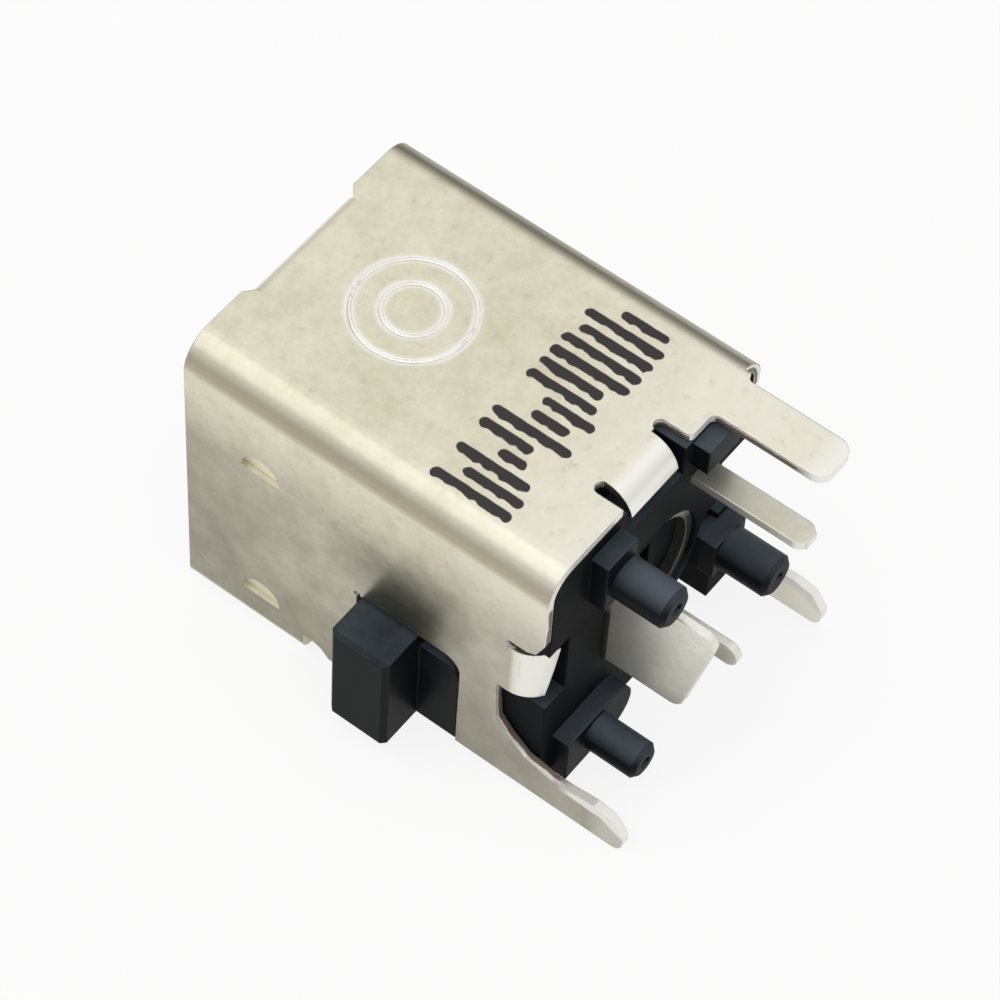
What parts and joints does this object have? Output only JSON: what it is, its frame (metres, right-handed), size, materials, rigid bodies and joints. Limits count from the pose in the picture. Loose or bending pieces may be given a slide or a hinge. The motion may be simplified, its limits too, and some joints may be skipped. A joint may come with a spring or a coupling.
{
  "type": "dc barrel jack",
  "caption": "Straight-through board-mounted power jack: folded metal shell round a black moulding, sleeve and centre contact, solder legs and locating pegs at the rear.",
  "frame": {"origin": "on the plug axis, in the plane of the mouth", "axes": "+Y from the mouth to the board side along the plug axis, +X towards the side block, +Z towards the plain top sheet"},
  "size_m": [0.0118, 0.0169, 0.0115],
  "materials": {
    "tinplate": "satin tin plate",
    "black_moulding": "fine moulded satin",
    "contact_sleeve": "tin-plated brass",
    "black_core": "moulded",
    "contact_signal": "tin-plated brass",
    "contact_spring": "tin-plated bronze"
  },
  "bodies": {
    "root": {"shell": "tinplate", "housing": "black_moulding", "sleeve": "contact_sleeve", "core": "black_core", "signal": "contact_signal", "spring": "contact_spring"}
  },
  "joints": []
}
